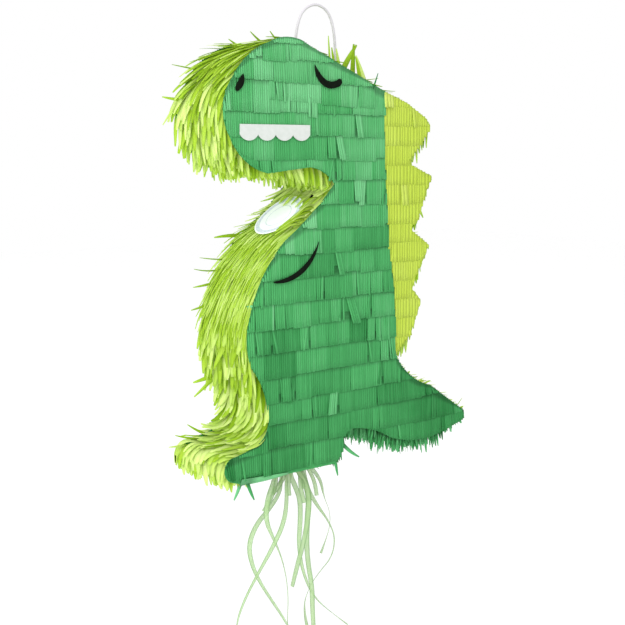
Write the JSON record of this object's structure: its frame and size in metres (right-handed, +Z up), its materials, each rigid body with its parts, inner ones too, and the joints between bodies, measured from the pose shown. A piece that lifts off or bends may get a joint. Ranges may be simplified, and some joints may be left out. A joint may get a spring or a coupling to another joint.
{
  "type": "pinata",
  "caption": "Hollow dinosaur-shaped card pinata with fringed paper skin, a hanging cord loop, a trap door with pull ribbons in its sole and a filling flap at the back.",
  "frame": {"origin": "inner top of the hanging loop, where a hook or line carries the pinata", "axes": "X from the snout to the tail tip, Y from the front face to the back face, Z up"},
  "size_m": [0.3345, 0.0916, 0.7001],
  "materials": {
    "board": "plain brown corrugated board",
    "green_fringe": "dark green tissue paper cut into a fringe",
    "lime_fringe": "lime tissue paper cut into long loose fringe",
    "crest_fringe": "yellow-lime tissue paper lying flat",
    "black_paper": "matte black card",
    "white_paper": "matte white card",
    "label_paper": "blank pale label",
    "paper_tape": "gummed paper tape",
    "cord": "pale grey twisted cord",
    "ribbon": "pale green curling ribbon, satin"
  },
  "bodies": {
    "hanger": {"hanging_cord": "cord", "cord_knots": "cord"},
    "shell": {"crown_wall": "board", "muzzle_wall": "board", "jaw_wall": "board", "chest_wall": "board", "belly_wall": "board", "toe_wall": "board", "sole_wall": "board", "heel_wall": "board", "tail_under_wall": "board", "tail_top_wall": "board", "crest_lower_wall": "board", "crest_upper_wall": "board", "crown_fringe": "lime_fringe", "muzzle_fringe": "lime_fringe", "jaw_fringe": "lime_fringe", "chest_fringe": "lime_fringe", "belly_fringe": "lime_fringe", "toe_fringe": "lime_fringe", "sole_fringe": "green_fringe", "heel_fringe": "green_fringe", "tail_under_fringe": "green_fringe", "tail_top_fringe": "lime_fringe", "crest_lower_fringe": "lime_fringe", "crest_upper_fringe": "lime_fringe", "front_panel": "board", "back_panel": "board", "front_body_fringe": "green_fringe", "back_body_fringe": "green_fringe", "front_crest_fringe": "crest_fringe", "back_crest_fringe": "crest_fringe", "front_eye": "black_paper", "front_nostril": "black_paper", "front_teeth": "white_paper", "front_arm_line": "black_paper", "back_eye": "black_paper", "back_nostril": "black_paper", "back_teeth": "white_paper", "back_arm_line": "black_paper", "chest_label": "label_paper", "hanger_plate": "board", "door_stops": "board", "sole_tape": "paper_tape", "panel_tape": "paper_tape"},
    "trap_door": {"trap_door": "board", "door_fringe": "green_fringe", "door_tape": "paper_tape", "ribbon_ties": "ribbon"},
    "ribbons": {"ribbon_1": "ribbon", "ribbon_2": "ribbon", "ribbon_3": "ribbon", "ribbon_4": "ribbon", "ribbon_5": "ribbon", "ribbon_6": "ribbon", "ribbon_7": "ribbon", "ribbon_8": "ribbon"},
    "fill_flap": {"fill_flap": "board", "flap_fringe": "green_fringe", "flap_tape": "paper_tape"}
  },
  "joints": [
    {"name": "body_swing", "type": "hinge", "parent": "hanger", "child": "shell", "pos_m": [0, 0, -0.07135], "axis": [0.9217, 0, -0.3879], "range_deg": [-15, 15]},
    {"name": "door_hinge", "type": "hinge", "parent": "shell", "child": "trap_door", "pos_m": [-0.048, 0.024, -0.47825], "axis": [1, 0, 0], "range_deg": [0, 90]},
    {"name": "ribbon_hang", "type": "hinge", "parent": "trap_door", "child": "ribbons", "pos_m": [-0.048, -0.0245, -0.48105], "axis": [1, 0, 0], "range_deg": [-90, 0]},
    {"name": "flap_hinge", "type": "hinge", "parent": "shell", "child": "fill_flap", "pos_m": [0.015, 0.0423, -0.24625], "axis": [1, 0, 0], "range_deg": [0, 100]}
  ],
  "couplings": [
    {"joint": "ribbon_hang", "follows": "door_hinge", "ratio": -1}
  ]
}
